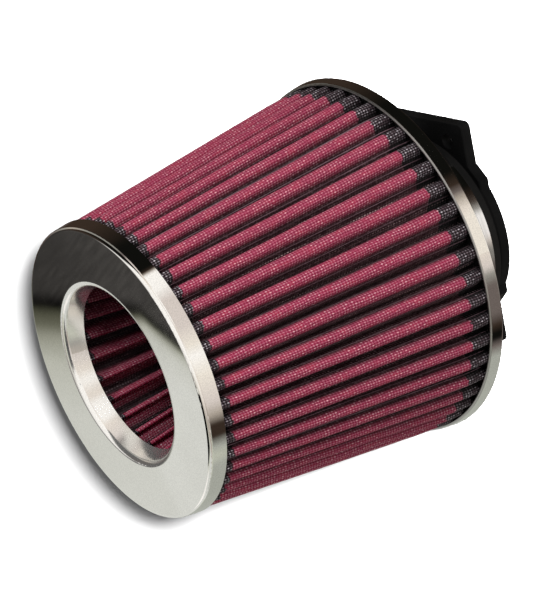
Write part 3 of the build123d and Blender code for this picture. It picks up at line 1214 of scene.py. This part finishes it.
    def _laid(self, ring: Ring, below: Socket) -> Socket:
        """Lays a ring over what is below it."""
        share = self.bench.step(self.tilt, ring.start, ring.full)
        return self.bench.blend(share, below, self.bench.ramp(self.around, ring.stops()))

    def colour(self) -> Socket:
        """Wires the room's colours.

        Returns:
            The colour in each direction.
        """
        bench = self.bench
        room = bench.ramp(self.around, self.deep_ring.stops())
        for ring in (self.low_ring, self.middle_ring, self.upper_ring):
            room = self._laid(ring, room)
        high = bench.step(self.tilt, self.high_ring.start, self.high_ring.full)
        room = bench.blend(high, room, self._above())
        return bench.blend(self._ceiling(), room, Wall.WHITE.value)


@dataclass
class Studio:
    """Floor, lamps, surroundings and camera. Lengths are in metres, those of the lens in millimetres."""

    eye: Vector = field(default_factory=lambda: Vector((-0.7257, -0.3294, 0.5434)))
    right: Vector = field(default_factory=lambda: Vector((-0.5796, 0.1976, -0.7906)))
    up: Vector = field(default_factory=lambda: Vector((0.1860, -0.9125, -0.3644)))
    middle: Vector = field(default_factory=lambda: Vector((0.0, 0.0, 0.1)))
    lens: float = 137.8
    lamp_aside: Span = (0.0145, 0.013)
    floor_half: float = 3.0
    floor_colour: Colour = (0.82, 0.82, 0.82)
    near_glow: Colour = (0.035, 0.035, 0.035)
    glow_span: Span = (0.46, 1.0)
    flag_place: tuple[float, float, float] = (-0.0235, 0.056, 0.25)
    flag_size: Span = (0.103, 0.072)
    fill: float = 0.09

    def build(self) -> None:
        """Sets everything up around the filter."""
        self._camera()
        floor = self._floor()
        self._surroundings()
        self._flag()
        all_but_floor = self._receivers(floor, "EXCLUDE")
        for lamp in (
            Lamp("key_lamp", Vector((-0.75, -1.08, 0.50)), size=0.5, power=13.0),
            Lamp("side_lamp", Vector((-1.15, 0.15, 0.14)), size=0.5, power=5.5),
            Lamp("top_lamp", Vector((-0.10, -0.75, 0.95)), size=0.45, power=7.2),
            Lamp("back_lamp", Vector((0.70, 0.95, 0.40)), size=0.5, power=8.0),
        ):
            lamp.build(self.middle, all_but_floor)
        rightward, upward = self.lamp_aside
        beside_eye = self.eye + (self.right * rightward + self.up * upward)
        floor_only = self._receivers(floor, "INCLUDE")
        Lamp("floor_lamp", beside_eye, size=0.029, power=74.0).build(self.middle, floor_only)

    @staticmethod
    def _receivers(floor: Object, state: str) -> bpy.types.Collection:
        """Makes a lamp's list of what it lights.

        Args:
            floor: the floor.
            state: INCLUDE for the floor alone, EXCLUDE for everything else.

        Returns:
            The list.
        """
        group = bpy.data.collections.new(f"floor_{state.lower()}")
        group.objects.link(floor)
        group.collection_objects[0].light_linking.link_state = state
        return group

    def _camera(self) -> None:
        """Sets the camera at the picture's own viewpoint and roll."""
        data = bpy.data.cameras.new("studio_camera")
        data.lens = self.lens
        data.sensor_width = 36.0
        data.sensor_fit = "AUTO"
        data.clip_start = 0.01
        camera = bpy.data.objects.new("studio_camera", data)
        turn = Matrix((self.right, self.up, self.right.cross(self.up))).transposed().to_4x4()
        camera.matrix_world = Matrix.Translation(self.eye) @ turn
        bpy.context.scene.collection.objects.link(camera)
        bpy.context.scene.camera = camera

    def _floor(self) -> Object:
        """Lays the pale floor, which turns white far out and which only the camera sees.

        Returns:
            The floor.
        """
        mesh = bmesh.new()
        bmesh.ops.create_grid(mesh, x_segments=1, y_segments=1, size=self.floor_half)
        floor = place_mesh("floor", mesh, smooth=False)
        finish = Finish("pale_floor")
        finish.drive(Base_Color=self.floor_colour, Roughness=0.9, Specular_IOR_Level=0.0)
        bench = finish.bench
        x, y, _ = bench.parts(finish.place())
        glow = bench.blend(bench.step(bench.from_axis(x, y), *self.glow_span), self.near_glow, WHITE)
        finish.drive(Emission_Color=glow, Emission_Strength=1.0)
        floor.data.materials.append(finish.material)
        floor.visible_diffuse = floor.visible_glossy = False
        return floor

    def _flag(self) -> None:
        """Hangs a black card over the nose that only bright metal mirrors."""
        mesh = bmesh.new()
        place = Matrix.Translation(self.flag_place) @ Matrix.Diagonal((*self.flag_size, 1.0, 1.0))
        bmesh.ops.create_grid(mesh, x_segments=1, y_segments=1, size=0.5, matrix=place)
        flag = place_mesh("black_flag", mesh, smooth=False)
        finish = Finish("flag_cloth")
        finish.drive(Base_Color=(0.005, 0.005, 0.005), Roughness=1.0, Specular_IOR_Level=0.0)
        flag.data.materials.append(finish.material)
        flag.visible_camera = flag.visible_diffuse = flag.visible_shadow = flag.visible_transmission = False

    def _surroundings(self) -> None:
        """Fills the room: white to the camera, soft to dull surfaces, walls and ceiling to bright metal."""
        world = bpy.data.worlds.new("studio_room")
        bpy.context.scene.world = world
        world.use_nodes = True
        bench = NodeBench(world.node_tree)
        output = next(node for node in bench.tree.nodes if node.type == "OUTPUT_WORLD")
        walls = next(node for node in bench.tree.nodes if node.type == "BACKGROUND")
        bench.feed(walls.inputs["Color"], Room(bench).colour())
        walls.inputs["Strength"].default_value = 1.0
        soft, white = (bench.add("ShaderNodeBackground", WHITE, strength) for strength in (self.fill, 1.0))
        ray = bench.add("ShaderNodeLightPath").outputs
        mirrored = bench.add("ShaderNodeMixShader", ray["Is Glossy Ray"], soft.outputs[0], walls.outputs[0])
        seen = bench.add("ShaderNodeMixShader", ray["Is Camera Ray"], mirrored.outputs[0], white.outputs[0])
        bench.feed(output.inputs["Surface"], seen.outputs[0])


def clear_scene() -> None:
    """Removes whatever the start-up file holds."""
    for item in list(bpy.data.objects):
        bpy.data.objects.remove(item)


def main() -> None:
    """Builds the scene piece by piece."""
    logging.basicConfig(level=logging.INFO, format="%(name)s: %(message)s")
    clear_scene()
    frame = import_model()
    bpy.context.scene.view_settings.view_transform = "Standard"
    Studio().build()
    effects = Effects()

    outer = PleatPack(
        name="outer_pleat_sheet", node="outer_pleats", count=49, turn=2.0, low_z=41.5, high_z=163.2,
        low_peak=74.6, high_peak=59.8, depth=10.0, peak_share=0.54, root_share=0.70,
        facing=Facing.OUTWARD, wires_across=22, bulge=0.85,
    )
    inner = PleatPack(
        name="inner_pleat_sheet", node="inner_pleats", count=27, turn=3.5, low_z=77.2, high_z=163.2,
        low_peak=32.0, high_peak=47.9, depth=9.0, peak_share=0.50, root_share=0.57,
        facing=Facing.INWARD, wires_across=22, seed=50.0,
    )
    outer_gauze = PleatFinish(
        name="outer_gauze", pack=outer, shade=OUTER_SHADE, low_resin=0.0102, high_resin=0.0064,
        gauze_light=(0.28, 0.018, 0.056), gauze_dark=(0.15, 0.009, 0.028), gauze_warm=(0.29, 0.020, 0.045),
        wire_on_gauze=(0.54, 0.130, 0.210), glint_on_gauze=(0.95, 0.58, 0.62), flank_depth=0.47,
    )
    inner_gauze = PleatFinish(
        name="inner_gauze", pack=inner, shade=INNER_SHADE, low_resin=0.006, high_resin=0.0075,
        gauze_light=(0.30, 0.020, 0.060), gauze_dark=(0.17, 0.010, 0.032), gauze_warm=(0.26, 0.018, 0.045),
        wire_on_gauze=(0.48, 0.15, 0.21), glint_on_gauze=(0.95, 0.68, 0.72), lit_flank_lift=0.2,
        valley=(0.030, 0.025, 0.027), valley_glint=(0.32, 0.25, 0.27), valley_wire=(0.09, 0.07, 0.075),
    )
    bright = BrightFinish().build(effects)
    strip = StripFinish().build(effects)
    rubber = BlackFinish(
        name="cast_urethane", ground=(0.005, 0.005, 0.005), dust=(0.012, 0.0115, 0.011),
        rough_low=0.50, rough_high=0.64, grain_scale=1400.0, grain_depth=0.00004, shine=0.18,
    ).build(effects)
    coated = BlackFinish(
        name="coated_casting", ground=(0.0052, 0.0052, 0.0053), dust=(0.013, 0.013, 0.013),
        rough_low=0.46, rough_high=0.62, grain_scale=900.0, grain_depth=0.0001, shine=0.07,
    ).build(effects)

    packs = [finish.pack.dress(finish.build(effects)) for finish in (outer_gauze, inner_gauze)]
    for piece in (*packs, WormThread().dress(strip)):
        LOG.info("%s has %d faces", piece.name, len(piece.data.polygons))
    CarriedNodes(frame["nodes"]).dress({
        "nose_cap": bright, "base_band": bright, "nose_potting": rubber, "inner_end_cap": rubber,
        "base_moulding": rubber, "clamp_band": strip, "clamp_housing": strip, "clamp_screw": strip,
        "adapter_flange": coated,
    })


if __name__ == "__main__":
    main()
